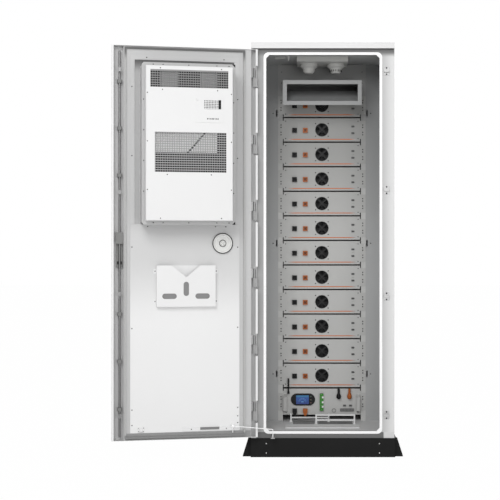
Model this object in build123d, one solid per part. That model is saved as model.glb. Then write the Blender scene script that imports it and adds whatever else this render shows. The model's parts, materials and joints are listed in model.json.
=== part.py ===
from build123d import *
import math
import os

# Outdoor battery cabinet with its door swung open: twelve rack modules, a control box, an air duct,
# and a door that carries the air conditioner, the rod lock and the document pocket.
# Millimetres. X runs to the right of a person facing the open front, Y to the back, Z up.
# The origin is the middle of the plinth's underside.

# ---- Body ----
body_width = 766.0
body_depth = 900.0
plinth_height = 102.0
plinth_margin = 4.0          # the plinth stands out past the body at the front and the sides
plinth_sheet = 3.0
plinth_flange = 42.0
foot_reach = 43.0            # the anchor feet stand out from the plinth's sides
foot_top = 12.0
foot_length = 860.0
foot_sheet = 6.0
anchor_spacing_y = 700.0
anchor_hole = 7.0            # radius
anchor_inset = 16.0          # hole centre to the foot's outer edge
floor_thickness = 32.0
bracket_width = 221.5        # the cable tie brackets on the floor
bracket_bar = 8.0
wall = 32.0                  # insulated double wall
body_top = 2185.0
roof_panel = 15.0
front_sheet = 3.0
roof_height = 31.0
roof_overhang = 25.0
roof_fall = 9.0              # the roof drops this much to the back
roof_sheet = 2.0

# ---- Front opening ----
opening_margin = 77.0        # the front sheet beside the opening
opening_half = body_width / 2 - opening_margin
opening_bottom = plinth_height + floor_thickness + front_sheet
opening_top = body_top - 29.0
lip_width = 10.5
lip_proud = 2.0
throat_depth = 40.0
lip_corner = 26.0
ceiling = body_top - roof_panel
detector_box_height = 27.0
detector_setback = 250.0
detector_spacing = 150.0

# ---- Rack ----
rack_setback = 423.0
rack_inner = 223.0           # half the gap between the posts
rack_post = 27.0
post_sheet = 2.5
post_depth = 40.0
module_count = 12
module_bottom = 325.6
module_headroom = 159.6      # from the stack's highest pitch line to the ceiling
module_pitch = (ceiling - module_bottom - module_headroom) / module_count
module_gap = 8.0
plate_height = module_pitch - module_gap
plate_sheet = 3.0
plate_gap = 0.5              # between a front plate and the posts' inner edges, each side
ear_height = plate_height - 28.8
module_half = 215.0
module_depth = body_depth - 505.0
rail_sheet = 2.0
rail_shelf = 35.0
fan_radius = 34.0
fan_tip_gap = 2.0
fan_depth = 30.0
fan_hub = 14.0
blade_count = 5
blade_pitch = 32.0           # degrees
shaft_radius = 3.0
shaft_clearance = 0.05

# ---- Control box ----
control_bottom = 168.0
control_top = module_bottom - 9.6

# ---- Air duct ----
duct_half = 219.0
duct_sheet = 2.0
duct_setback = 225.0         # its mouth behind the front plane
duct_z = (ceiling - 256.0, ceiling - 118.0)
duct_rim = 22.0

# ---- Door (u runs from the hinge edge, n runs forward from the body's front plane) ----
door_width = body_width
door_bottom = 116.0
door_top = body_top - 11.0
door_open = 169.0            # degrees, held by the stay rod
door_inner = 6.0             # n of the rim
door_outer = 50.0            # n of the outer skin
door_skin = 2.0
rim_width = 11.0
hinge_u = 16.0
hinge_n = 32.0
bed_u = (34.0, door_width - 62.0)
bed_n = 14.0
lining_u = (98.0, door_width - 96.0)
lining_z = (155.0, door_top - 49.0)
lining_n = 8.0
lining_sheet = 2.0
seal_width = 9.0
seal_gap = 0.3

# ---- Air conditioner ----
ac_rim_u = (140.0, door_width - 149.0)
ac_rim_z = (door_top - 935.0, door_top - 109.0)
ac_rim_n = -144.0
ac_rim_sheet = 3.0
ac_cover_u = (ac_rim_u[0] + 17.0, ac_rim_u[1] - 17.0)
ac_cover_z = (ac_rim_z[0] + 19.0, ac_rim_z[1] - 21.0)
ac_cover_depth = 43.0
ac_sheet = 2.0
ac_opening_u = (ac_rim_u[0] - 22.0, ac_rim_u[1] + 30.0)
ac_opening_z = (ac_rim_z[0] + 6.0, ac_rim_z[1] + 36.0)
ac_hole_u = (ac_opening_u[0] + 20.0, ac_opening_u[1] - 28.0)
ac_hole_z = (ac_rim_z[0] + 11.0, ac_rim_z[1] - 12.0)
ac_hole_gap = 0.5
ac_hood_depth = 70.0
grille_hole = 8.0
grille_pitch = 12.0
outlet_grille = ((ac_cover_u[0] + 25.0, ac_cover_u[1] - 24.0), (ac_cover_z[1] - 109.0, ac_cover_z[1] - 21.0))
return_grille = ((ac_cover_u[0] + 35.0, ac_cover_u[1] - 46.0), (ac_cover_z[0] + 247.0, ac_cover_z[0] + 449.0))
fan_frame_size = 90.0
fan_frame_z = ac_cover_z[1] - 65.0
fan_frame_u = (ac_cover_u[0] + 121.0, ac_cover_u[1] - 120.0)
access_u = (ac_cover_u[0] + 49.0, ac_cover_u[0] + 190.0)
access_z = (ac_cover_z[1] - 286.0, ac_cover_z[1] - 158.0)
access_window_u = (access_u[0] + 12.0, access_u[1] - 41.0)
access_window_z = (access_z[1] - 60.0, access_z[1] - 12.0)
access_sheet = 3.0

# ---- Below the conditioner ----
pocket_u = (228.0, 535.0)
pocket_z = (ac_rim_z[0] - 426.0, ac_rim_z[0] - 211.0)
pocket_depth = 33.0
pocket_sheet = 1.5
pocket_slot = 28.0           # width of its three slots
relief_u = 187.5
relief_z = ac_rim_z[0] - 95.0
relief_radius = 55.0

# ---- Hinges, lock and stay ----
hinge_count = 6
hinge_first = door_bottom + 134.0
hinge_pitch = (door_top - 147.0 - hinge_first) / (hinge_count - 1)
hinge_heights = [hinge_first + hinge_pitch * index for index in range(hinge_count)]
hinge_height = 100.0
knuckle_radius = 7.0
hinge_pin = 3.0
hinge_pin_clearance = 0.05
hinge_leaf = 4.0
hinge_split = 0.5            # between the two leaves' knuckles
crank_reach = 14.3
crank_sheet = 3.0
notch_height = 119.0
rod_u = door_width - 42.0
rod_n = 26.0
rod_radius = 5.0
rod_travel = 15.0
rod_side_gap = 0.1
lock_z = (door_bottom + door_top) / 2 + 26.0
strike_heights = (door_bottom + 109.4, lock_z - 310.5, lock_z + 258.8, door_top - 107.5)
guide_heights = [
    strike_heights[0] + 54.4, (strike_heights[0] + strike_heights[1]) / 2 - 15, strike_heights[1] - 84.4,
    strike_heights[2] + 68.1, (strike_heights[2] + strike_heights[3]) / 2 - 5.4, strike_heights[3] - 78.9]
spindle_radius = 6.0
spindle_clearance = 0.05
stay_u = 136.6
stay_n = -18.0
stay_z = 182.0
stay_radius = 2.5
stay_reach = 214.0
stay_fall = 24.0
stay_drop = 46.0
stay_tail = 34.0
stud_radius = 3.0
stud_clearance = 0.05
catch_z = (110.0, 113.0)
catch_hole = 4.5
bumper_u = door_width - 151.4

# ---- Derived values ----
front = -body_depth / 2
half = body_width / 2
floor_top = plinth_height + floor_thickness
rack_y = front + rack_setback
plinth_half = half + plinth_margin
plate_y = rack_y - plate_sheet
hinge_x = hinge_u - half
hinge_y = front - hinge_n
parts = {}


def span(x, y, z):
    """A box between the given limits on each axis."""
    middle = [(a + b) / 2 for a, b in (x, y, z)]
    return Pos(*middle) * Box(x[1] - x[0], y[1] - y[0], z[1] - z[0])


def both(limits, side):
    """The same limits on the right (side 1) or mirrored to the left (side -1)."""
    return tuple(sorted(side * value for value in limits))


def leaf(u, n, z):
    """A box on the closed door, placed by its distance from the hinge edge and from the front."""
    return span((u[0] - half, u[1] - half), (front - n[1], front - n[0]), z)


def at(u, n, z):
    """The place of a point on the closed door."""
    return Pos(u - half, front - n, z)


def along_y(radius, y, x, z):
    """A round bar along Y between two Y values."""
    return Pos(x, (y[0] + y[1]) / 2, z) * Rot(90, 0, 0) * Cylinder(radius, y[1] - y[0])


def upright(radius, x, y, z):
    """A round bar along Z between two heights."""
    return Pos(x, y, (z[0] + z[1]) / 2) * Cylinder(radius, z[1] - z[0])


def prism(radius, sides, x, y, z):
    """An upright bar with flats, for round pieces too small to show them."""
    turns = [math.tau * (index + 0.5) / sides for index in range(sides)]
    return profile_z([(x + radius * math.cos(turn), y + radius * math.sin(turn)) for turn in turns], z)


def profile_x(points, x):
    """A Y-Z outline extruded between two X values."""
    face = make_face(Polyline(*[(x[0], y, z) for y, z in points], close=True))
    return extrude(face, amount=x[1] - x[0], dir=(1, 0, 0))


def profile_y(points, y):
    """An X-Z outline extruded between two Y values."""
    face = make_face(Polyline(*[(x, y[0], z) for x, z in points], close=True))
    return extrude(face, amount=y[1] - y[0], dir=(0, 1, 0))


def profile_z(points, z):
    """An X-Y outline extruded between two heights."""
    face = make_face(Polyline(*[(x, y, z[0]) for x, y in points], close=True))
    return extrude(face, amount=z[1] - z[0], dir=(0, 0, 1))


def obround(x, z, y):
    """A round-ended slot cutter between X and Z limits, long on its longer axis."""
    radius = min(x[1] - x[0], z[1] - z[0]) / 2
    if x[1] - x[0] > z[1] - z[0]:
        middle = (z[0] + z[1]) / 2
        ends = ((x[0] + radius, middle), (x[1] - radius, middle))
        cutter = span((x[0] + radius, x[1] - radius), y, z)
    else:
        middle = (x[0] + x[1]) / 2
        ends = ((middle, z[0] + radius), (middle, z[1] - radius))
        cutter = span(x, y, (z[0] + radius, z[1] - radius))
    for end_x, end_z in ends:
        cutter += along_y(radius, y, end_x, end_z)
    return cutter


def swung(u, n):
    """The X and Y of a point on the closed door once the door is open."""
    turn = math.radians(-door_open)
    x, y = u - half - hinge_x, front - n - hinge_y
    return (hinge_x + x * math.cos(turn) - y * math.sin(turn),
            hinge_y + x * math.sin(turn) + y * math.cos(turn))


def keep(name, *shapes):
    """Store the separate solids of one node."""
    solids = [solid for shape in shapes for solid in shape.solids()]
    parts[name] = Compound(children=solids)


def keep_on_door(name, *shapes):
    """Store a node that is drawn on the closed door, swung to its open place."""
    axis = Axis((hinge_x, hinge_y, 0), (0, 0, 1))
    keep(name, *[shape.rotate(axis, -door_open) for shape in shapes])


# ---- Plinth: a folded channel ring and two gusseted anchor feet ----

def plinth_ring():
    """Front, back and side channels of the base as one folded ring."""
    deep = body_depth / 2 + plinth_margin
    ring = span((-plinth_half, plinth_half), (-deep, deep), (0, plinth_height))
    s = plinth_sheet
    ring -= span((s - plinth_half, plinth_half - s), (s - deep, deep - s), (s, plinth_height - s))
    f = plinth_flange
    ring -= span((f - plinth_half, plinth_half - f), (f - deep, deep - f), (-1, plinth_height + 1))
    return ring


def anchor_foot(side):
    """A side foot: upright plate, base flange with two anchor holes, and three gussets."""
    inner, outer = plinth_half, plinth_half + foot_reach
    y = (-foot_length / 2, foot_length / 2)
    foot = span(both((inner, inner + foot_sheet), side), y, (0, plinth_height))
    foot += span(both((inner, outer), side), y, (0, foot_sheet))
    outline = [(inner, 0), (outer, 0), (outer, foot_sheet), (inner + foot_top, plinth_height),
               (inner, plinth_height)]
    for start in (y[0], -foot_sheet / 2, y[1] - foot_sheet):
        foot += profile_y([(side * x, z) for x, z in outline], (start, start + foot_sheet))
    for hole_y in (-anchor_spacing_y / 2, anchor_spacing_y / 2):
        foot -= upright(anchor_hole, side * (outer - anchor_inset), hole_y, (-1, foot_sheet + 1))
    return foot


# ---- Walls, front frame and roof ----

def floor_panel():
    """The insulated floor with a raised cable entry plate."""
    panel = span((-half, half), (front, -front), (plinth_height, floor_top))
    plate = span((-205, 205), (front + 130, front + 250), (floor_top, floor_top + 5))
    return panel, fillet(plate.edges().filter_by(Axis.Z), 8)


def cable_bracket(x, y, top, rungs):
    """A cable tie bracket on the floor: two posts joined by level rungs."""
    w = bracket_bar
    y = (y, y + w)
    bracket = span((x, x + w), y, (floor_top, top))
    bracket += span((x + bracket_width - w, x + bracket_width), y, (floor_top, top))
    for rung in rungs:
        bracket += span((x, x + bracket_width), y, (rung - w, rung))
    return bracket


def front_frame():
    """The front sheet with the opening, its deep throat and the raised lip around it."""
    frame = span((-half, half), (front, front + front_sheet), (floor_top, body_top))
    middle = (opening_bottom + opening_top) / 2
    height = opening_top - opening_bottom

    def ring(grow, corner, y):
        size = (2 * (opening_half + grow), height + 2 * grow)
        face = Pos(0, y[0], middle) * Rot(-90, 0, 0) * RectangleRounded(*size, corner)
        return extrude(face, amount=y[1] - y[0], dir=(0, 1, 0))

    inner_corner = lip_corner - lip_width
    frame += ring(lip_width, lip_corner, (front - lip_proud, front))
    frame += ring(front_sheet, inner_corner + front_sheet, (front, front + throat_depth))
    return frame - ring(0, inner_corner, (front - lip_proud - 1, front + throat_depth + 1))


def roof_cap():
    """A folded rain roof, open beneath, that falls to the back."""
    y = (front - roof_overhang, -front + 10)
    top = body_top + roof_height
    base, s = body_top, roof_sheet
    outline = [(y[0], base), (y[0], top), (y[1], top - roof_fall), (y[1], base)]
    cap = profile_x(outline, (-half, half))
    cap = fillet(cap.edges().filter_by(Axis.X).group_by(Axis.Z)[-1], 4)
    inside = [(y[0] + s, base - 1), (y[0] + s, top - s),
              (y[1] - s, top - roof_fall - s), (y[1] - s, base - 1)]
    return cap - profile_x(inside, (s - half, half - s))


# ---- Rack ----

def rack_frame(side):
    """Front and rear posts, the filler sheet beside them and the module rails of one side."""
    inner, outer = rack_inner, rack_inner + rack_post
    z = (floor_top, ceiling)
    posts = []
    for y, back in ((rack_y, 1), (rack_y + module_depth + post_depth / 2, -1)):
        flange = span(both((inner, outer), side), sorted((y, y + back * post_sheet)), z)
        web = span(both((outer - post_sheet, outer), side), sorted((y, y + back * post_depth)), z)
        posts.append(flange + web)
    filler = span(both((outer, half - wall), side), (rack_y, rack_y + 2), z)
    for slot_z in [275 + 261.5 * step for step in range(6)]:
        filler -= span(both((outer + 42, outer + 50), side), (rack_y - 1, rack_y + 3), (slot_z, slot_z + 30))
    for slot_z in (382, 1129, 1872):
        filler -= span(both((outer + 4, outer + 12), side), (rack_y - 1, rack_y + 3), (slot_z, slot_z + 37))
    rails = []
    rail_y = (rack_y + post_sheet, rack_y + module_depth + post_depth / 2 - post_sheet)
    seats = [control_bottom] + [module_bottom + index * module_pitch for index in range(module_count)]
    for seat in seats:
        upper = span(both((inner, inner + rail_sheet), side), rail_y, (seat + 2, seat + 40))
        shelf = (inner + rail_sheet - rail_shelf, inner + rail_sheet)
        rails.append(upper + span(both(shelf, side), rail_y, (seat + 2, seat + 2 + rail_sheet)))
    return [*posts, filler, *rails]


def faced_box(bottom, height, ear):
    """A rack unit: a case behind a front plate whose ears lie on the posts."""
    edge = rack_inner - plate_gap
    y = (plate_y, rack_y)
    top = bottom + height
    unit = span((-edge, edge), y, (bottom, top))
    middle = bottom + height / 2
    outer = rack_inner + rack_post
    unit += span((-outer, outer), y, (middle - ear / 2, middle + ear / 2))
    seat = bottom + 2 + rail_sheet
    case_y = (rack_y, rack_y + module_depth)
    return unit + span((-module_half, module_half), case_y, (seat, top - 2))


def battery_module(bottom):
    """One battery module with its round fan well and the shaft the fan runs on."""
    middle = bottom + plate_height / 2
    unit = faced_box(bottom, plate_height, ear_height)
    back = rack_y + fan_depth
    unit -= along_y(fan_radius + fan_tip_gap, (plate_y - 1, back), 0, middle)
    return unit + along_y(shaft_radius, (back - fan_depth + 6, back), 0, middle)


def fan_rotor(middle):
    """An axial fan rotor: a hub with one flat for each pitched, widening blade."""
    y = (rack_y + 2, rack_y + 24)
    turns = [math.tau * (index + 0.5) / blade_count for index in range(blade_count)]
    corner = fan_hub / math.cos(math.pi / blade_count)
    hub = profile_y([(corner * math.sin(turn), corner * math.cos(turn)) for turn in turns], (-11, 11))
    root = fan_hub - 1
    tip = math.sqrt(fan_radius ** 2 - 10 ** 2)
    outline = make_face(Polyline((-4, root), (4, root), (9, tip), (-7, tip), close=True))
    blade = extrude(outline, 0.8, both=True)
    vane = Rot(0, 0, blade_pitch) * Rot(90, 0, 0) * blade
    rotor = hub
    for index in range(blade_count):
        rotor += Rot(0, 360 / blade_count * index, 0) * vane
    rotor = Pos(0, (y[0] + y[1]) / 2, middle) * rotor
    return rotor - along_y(shaft_radius + shaft_clearance, (y[0] + 3, y[1] + 1), 0, middle)


def fan_guard(middle):
    """A finger guard: a thin round frame with crossed bars between four openings."""
    y = (plate_y - 2.5, plate_y)
    turns = [math.tau * index / 16 for index in range(16)]
    guard = profile_y([(38.5 * math.cos(turn), middle + 38.5 * math.sin(turn)) for turn in turns], y)
    window = profile_y([(4, 0), (26, 22), (35, 9), (35, -9), (26, -22)], (y[0] - 1, y[1] + 1))
    for quarter in range(4):
        guard -= Pos(0, 0, middle) * Rot(0, 90 * quarter, 0) * window
    return guard


def socket(x, z, size=27.0, proud=12.0):
    """A square power connector with a hollow front."""
    y = plate_y
    body = span((x - size / 2, x + size / 2), (y - proud, y), (z - size / 2, z + size / 2))
    hole = size * 0.3
    return body - span((x - hole, x + hole), (y - proud - 1, y - 4), (z - hole, z + hole))


def boot_up(x, z):
    """A plugged cable boot that turns up: a round bulb that narrows into its neck."""
    outline = [(0, -17), (8, -17), (13, -8), (13, 3), (6.5, 17), (6.5, 42), (0, 42)]
    bulb = revolve(make_face(Polyline(*[(r, 0, h) for r, h in outline], close=True)), Axis.Z)
    return Pos(x, plate_y - 15, z) * bulb + along_y(8.0, (plate_y - 15, plate_y), x, z)


def boot_down(x, z):
    """A plugged cable boot that turns down: a square grip above a tapered sleeve."""
    outline = [(x - 13, z + 13), (x + 13, z + 13), (x + 13, z - 4), (x + 6, z - 26), (x - 6, z - 26),
               (x - 13, z - 4)]
    return profile_y(outline, (plate_y - 22, plate_y))


def small_port(x, z):
    """A small D-shaped signal port."""
    y = plate_y
    points = [(x - 9, z - 5), (x + 6, z - 5), (x + 9, z), (x + 6, z + 5), (x - 9, z + 5)]
    return profile_y(points, (y - 5, y))


def bow_handle(x, z):
    """A bow handle on the control box, bent from flat bar."""
    y = plate_y
    outer = [(y, z[0]), (y - 32, z[0] + 14), (y - 32, z[1] - 14), (y, z[1])]
    inner = [(y + 1, z[0] + 10), (y - 26, z[0] + 20), (y - 26, z[1] - 20), (y + 1, z[1] - 10)]
    return profile_x(outer, x) - profile_x(inner, (x[0] - 1, x[1] + 1))


# ---- Air duct and detectors ----

def air_duct():
    """A sheet duct from the conditioner's outlet up over the highest module."""
    s = duct_sheet
    mouth_y = front + duct_setback
    low, high = duct_z
    rear_low = module_bottom + module_count * module_pitch - module_gap + 6
    back = rack_y + 60
    foot_y, heel_y = rack_y - 60, plate_y - 19
    outline = [(mouth_y, low), (mouth_y, high), (back, high),
               (back, rear_low), (heel_y, rear_low), (foot_y, low)]
    duct = profile_x(outline, (-duct_half, duct_half))
    inside = [(mouth_y + s, low + s), (mouth_y + s, high - s), (back + 1, high - s),
              (back + 1, rear_low + s), (heel_y - 1, rear_low + s), (foot_y - 1, low + s)]
    duct -= profile_x(inside, (s - duct_half, duct_half - s))
    mouth_half = duct_half - duct_rim
    mouth_z = (low + duct_rim - 1, high - duct_rim)
    duct -= span((-mouth_half, mouth_half), (mouth_y - 1, mouth_y + s + 1), mouth_z)
    for side in (-1, 1):
        tab = both((duct_half - s, rack_inner + rack_post), side)
        duct += span(tab, (rack_y - 2, rack_y), (rear_low + 4, high - 4))
    return duct


def detector(x):
    """A ceiling fire detector: base, waisted head and dome, turned as one outline."""
    outline = [(0, 0), (49, 0), (49, -14), (33, -26), (32, -40), (22, -51), (0, -53)]
    face = make_face(Polyline(*[(r, 0, z) for r, z in outline], close=True))
    return Pos(x, front + detector_setback, ceiling - detector_box_height) * revolve(face, Axis.Z)


# ---- Door shell, lining and seal ----

def door_shell():
    """The door pan with its folded rim, seal bed, hinge notches and conditioner opening."""
    z = (door_bottom, door_top)
    s = door_skin
    shell = leaf((0, door_width), (door_inner, door_outer), z)
    hollow_z = (door_bottom + s, door_top - s)
    shell -= leaf((s, door_width - s), (door_inner + s, door_outer - s), hollow_z)
    shell -= leaf((rim_width, door_width - rim_width), (door_inner - 1, door_inner + s + 1), hollow_z)
    shell += leaf(bed_u, (bed_n, door_outer - s), hollow_z)
    for height in hinge_heights:
        notch = (height - notch_height / 2, height + notch_height / 2)
        shell -= leaf((-1, rim_width + 1), (door_inner - 1, door_outer - 8), notch)
    shell -= leaf(ac_hole_u, (0, door_outer + 1), ac_hole_z)
    return shell - along_y(spindle_radius + 1, (front - door_outer - 1, front - door_outer + s + 1),
                           rod_u - half, lock_z)


def door_lining():
    """The upper lining frame around the conditioner and the lower lining panel."""
    n = (lining_n, bed_n)
    split = ac_opening_z[0]
    frame = leaf(lining_u, n, (split, lining_z[1]))
    frame -= leaf(ac_opening_u, (0, 60), (split - 1, ac_opening_z[1]))
    panel = leaf(lining_u, n, (lining_z[0], split - 1))
    return frame, panel


def door_seal():
    """The foam seal that presses on the opening's lip when the door is shut."""
    n = (lip_proud + seal_gap, bed_n)
    grow = (lip_width - seal_width) / 2
    u = (half - opening_half - lip_width + grow, half + opening_half + lip_width - grow)
    z = (opening_bottom - lip_width + grow, opening_top + lip_width - grow)
    ring = leaf(u, n, z)
    w = seal_width
    return ring - leaf((u[0] + w, u[1] - w), (0, 20), (z[0] + w, z[1] - w))


# ---- Air conditioner on the door ----

def ac_housing():
    """The conditioner's case through the door, with its rim and the two fan frames."""
    gap = ac_hole_gap
    case = leaf((ac_hole_u[0] + gap, ac_hole_u[1] - gap), (ac_rim_n + ac_rim_sheet, door_outer),
                (ac_hole_z[0] + gap, ac_hole_z[1] - gap))
    case += leaf(ac_rim_u, (ac_rim_n, ac_rim_n + ac_rim_sheet), ac_rim_z)
    reach = fan_frame_size / 2
    frame_z = (fan_frame_z - reach + 6, fan_frame_z + reach - 6)
    for u in fan_frame_u:
        case += leaf((u - reach, u + reach), (ac_rim_n - 12, ac_rim_n), frame_z)
    return case


def ac_hood():
    """The conditioner's weather hood outside the door, with louvres cut into its front."""
    n = (door_outer, door_outer + ac_hood_depth)
    hood = leaf(ac_rim_u, n, ac_rim_z)
    hood = chamfer(hood.faces().sort_by(Axis.Y)[0].edges(), 10)
    for z in [ac_rim_z[0] + 60 + 34 * step for step in range(8)]:
        slit = Rot(-30, 0, 0) * Box(380, 60, 12)
        hood -= at((ac_rim_u[0] + ac_rim_u[1]) / 2, n[1], z) * slit
    return hood


def ac_cover():
    """The white inner cover: a shallow sheet box with rows of openings for the two grilles."""
    n = (ac_rim_n - ac_cover_depth, ac_rim_n)
    cover = leaf(ac_cover_u, n, ac_cover_z)
    cover = chamfer(cover.faces().sort_by(Axis.Y)[-1].edges(), 3)
    s = ac_sheet
    cover -= leaf((ac_cover_u[0] + s, ac_cover_u[1] - s), (n[0] + s, n[1] + 1),
                  (ac_cover_z[0] + s, ac_cover_z[1] - s))
    for u, z in (outlet_grille, return_grille):
        rows = int((z[1] - z[0] + grille_pitch - grille_hole) / grille_pitch)
        for row in range(rows):
            low = z[0] + grille_pitch * row
            cover -= leaf(u, (n[0] - 1, n[0] + s + 1), (low, low + grille_hole))
    return cover


def access_plate():
    """The screwed access plate on the cover, with a raised controller window."""
    n = ac_rim_n - ac_cover_depth
    s = access_sheet
    plate = leaf(access_u, (n - s, n), access_z)
    window = leaf(access_window_u, (n - 2 * s, n - s), access_window_z)
    knob = along_y(6.0, (front - n + s, front - n + 3 * s), access_u[1] - 7 - half, access_z[1] - 10)
    return plate + window + knob


# ---- Document pocket and relief valve ----

def document_pocket():
    """A sheet pocket, open at the top, with a notched front and three round-ended slots."""
    u, z, s = pocket_u, pocket_z, pocket_sheet
    n = (lining_n - pocket_depth, lining_n)
    pocket = leaf(u, n, z)
    pocket -= leaf((u[0] + s, u[1] - s), (n[0] + s, n[1] - s), (z[0] + s, z[1] + 1))
    x = (u[0] + u[1]) / 2 - half
    y = (front - n[0] - s - 1, front - n[0] + 1)
    notch = profile_y([(x - 75, z[1] + 1), (x, z[1] - 62), (x + 75, z[1] + 1)], y)
    notch = fillet(notch.edges().filter_by(Axis.Y).group_by(Axis.Z)[0], 12)
    pocket -= notch
    w = pocket_slot
    pocket -= obround((x - w / 2, x + w / 2), (z[0] + 56, z[0] + 130), y)
    for start in (u[0] + 30.8 - half, u[1] - 103.8 - half):
        pocket -= obround((start, start + 75), (z[0] + 41, z[0] + 41 + w), y)
    for tab_z in (z[0] + 27, z[1] - 30):
        for start in (u[0] - 14, u[1]):
            pocket += leaf((start, start + 14), (lining_n - s, lining_n), (tab_z - 12, tab_z + 12))
    return pocket


def relief_disc():
    """The round pressure relief valve: rim, groove and a four-lobed hub."""
    r = relief_radius
    profile = [(0, 0), (r, 0), (r - 5, 9), (r - 11, 9), (r - 15, 4), (18, 4), (18, 9), (0, 9)]
    face = make_face(Polyline(*[(r, 0, z) for r, z in profile], close=True))
    disc = revolve(face, Axis.Z)
    for quarter in range(4):
        disc += Rot(0, 0, 90 * quarter) * Pos(9, 0, 10.5) * Box(12, 7, 5)
    return at(relief_u, lining_n, relief_z) * Rot(-90, 0, 0) * disc


# ---- Hinges ----

def fixed_leaf(height):
    """A lift-off hinge leaf on the body: its arm is cranked so the open door's edge clears it."""
    low = (height - hinge_height / 2, height)
    knuckle = prism(knuckle_radius, 12, hinge_x, hinge_y, low)
    pin = upright(hinge_pin, hinge_x, hinge_y, (height, height + hinge_height / 2 - 4))
    crank = (hinge_x + crank_reach, hinge_x + crank_reach + crank_sheet)
    arm = span((hinge_x, crank[1]), (hinge_y - crank_sheet / 2, hinge_y + crank_sheet / 2), low)
    arm += span(crank, (hinge_y + crank_sheet / 2, front), low)
    pad = span((crank[0], crank[1] + 14), (front - crank_sheet, front), low)
    return knuckle + pin + arm + pad


def door_leaf(height):
    """A lift-off hinge leaf on the door with its bored knuckle."""
    z = (height + hinge_split, height + hinge_height / 2)
    knuckle = prism(knuckle_radius, 12, hinge_x, hinge_y, z)
    t = hinge_leaf / 2
    arm = span((hinge_x, bed_u[0] - half), (hinge_y - t, hinge_y + t), z)
    bore = upright(hinge_pin + hinge_pin_clearance, hinge_x, hinge_y, (height, z[1] - 3))
    return knuckle + arm - bore


# ---- Rod lock ----

def strike(height):
    """A strike: a screwed plate with a raised bridge for the locking finger."""
    x = rod_u - half
    plate = span((x - 14, x + 14), (front - 3, front), (height - 22, height + 22))
    bridge = span((x - 14, x + 14), (front - 13, front), (height - 6, height + 6))
    return plate + bridge - span((x - 9, x + 9), (front - 9.5, front - 3), (height - 7, height + 7))


def lock_rod(direction):
    """One lock rod with its two locking fingers; direction 1 is the upper rod."""
    x, y = rod_u - half, front - rod_n
    heights = strike_heights[2:] if direction > 0 else strike_heights[:2]
    ends = (lock_z + 14, door_top - 26) if direction > 0 else (door_bottom + 18, lock_z - 14)
    rod = upright(rod_radius, x, y, ends)
    for height in heights:
        tip = height - direction * 9
        root = tip - direction * 14
        stem = sorted((root, root - direction * 8))
        rod += span((x - 5, x + 5), (y, front - 4), stem)
        rod += span((x - 5, x + 5), (front - 8, front - 4), sorted((root, tip)))
    return rod


def rod_guide(height):
    """A guide block on the skin that the rod slides through."""
    block = leaf((rod_u - 12, rod_u + 12), (rod_n - 10, door_outer - door_skin), (height - 9, height + 9))
    block = chamfer(block.edges().filter_by(Axis.Z).group_by(Axis.Y)[-1], 4)
    way = rod_radius + rod_side_gap
    return block - leaf((rod_u - way, rod_u + way), (rod_n - way, rod_n + way), (height - 10, height + 10))


def lock_case():
    """The lock's gear case on the skin, the inner handle body below it and the outer pan."""
    inner = door_outer - door_skin
    case = leaf((rod_u - 18, rod_u + 18), (rod_n - 12, inner), (lock_z - 30, lock_z + 30))
    x, y = rod_u - half, front - rod_n
    case -= along_y(spindle_radius + spindle_clearance, (front - inner - 1, front - rod_n + 1), x, lock_z)
    rod_ways = ((lock_z + 13 - rod_travel, lock_z + 31), (lock_z - 31, lock_z - 13 + rod_travel))
    r = rod_radius + rod_side_gap
    for way in rod_ways:
        case -= span((x - r, x + r), (y - r, y + r), way)
    case -= span((x - 7, x + 7), (y - 7, y + 7), (lock_z - 26, lock_z + 26))
    body = leaf((rod_u - 17, rod_u + 17), (rod_n + 8, inner), (lock_z - 153, lock_z - 30))
    stub = prism(5.0, 8, x, front - inner + 5, (lock_z - 197, lock_z - 153))
    n = door_outer
    pan = leaf((rod_u - 20, rod_u + 20), (n, n + 7), (lock_z - 186, lock_z + 28))
    pan = chamfer(pan.edges().filter_by(Axis.Y), 8)
    pan -= leaf((rod_u - 14, rod_u + 14), (n + 3, n + 8), (lock_z - 176, lock_z - 20))
    pan -= along_y(spindle_radius + spindle_clearance, (front - n - 8, front - n + 1), x, lock_z)
    return case, body, stub, pan


def swing_handle():
    """The outside lever on its spindle, turned level with the lock open."""
    x, n = rod_u - half, door_outer + 7.3
    outline = [(x + 11, lock_z - 10), (x + 11, lock_z + 10), (x - 60, lock_z + 11),
               (x - 150, lock_z + 8), (x - 150, lock_z - 8), (x - 60, lock_z - 11)]
    lever = profile_y(outline, (front - n - 14, front - n))
    spindle = along_y(spindle_radius, (front - n - 1, front - rod_n - 9), x, lock_z)
    return lever + spindle


# ---- Stay rod and the fittings at the door's foot ----

def stay_rod():
    """A bent wire stay: eye on its stud, grip tail down, long run and hooked end down."""
    x, y = stay_u - half, front - stay_n
    eye = along_y(7.0, (y - stay_radius, y + stay_radius), x, stay_z)
    tail = upright(stay_radius, x, y, (stay_z - stay_tail, stay_z))
    end = Vector(x - stay_reach, y, stay_z - stay_fall)
    run = Line((x, y, stay_z), end)
    wire = sweep(Plane(origin=run @ 0, z_dir=run % 0) * Circle(stay_radius), path=run)
    drop = upright(stay_radius, end.X, y, (end.Z - stay_drop, end.Z))
    rod = eye + tail + wire + drop
    return rod - along_y(stud_radius + stud_clearance, (y - 9, y + 9), x, stay_z)


def stay_bracket():
    """The channel at the door's foot that carries the stay's stud."""
    bar = leaf((97, 401), (2, lining_n), (158, 178)) - leaf((206, 306), (1, 5), (157, 179))
    x = stay_u - half
    bar += leaf((stay_u - 9, stay_u + 9), (2, lining_n), (158, 192))
    bar += along_y(5.5, (front - 2, front - stay_n - stay_radius - 0.3), x, stay_z)
    return bar + along_y(stud_radius, (front - 2, front - stay_n + stay_radius + 1), x, stay_z)


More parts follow.
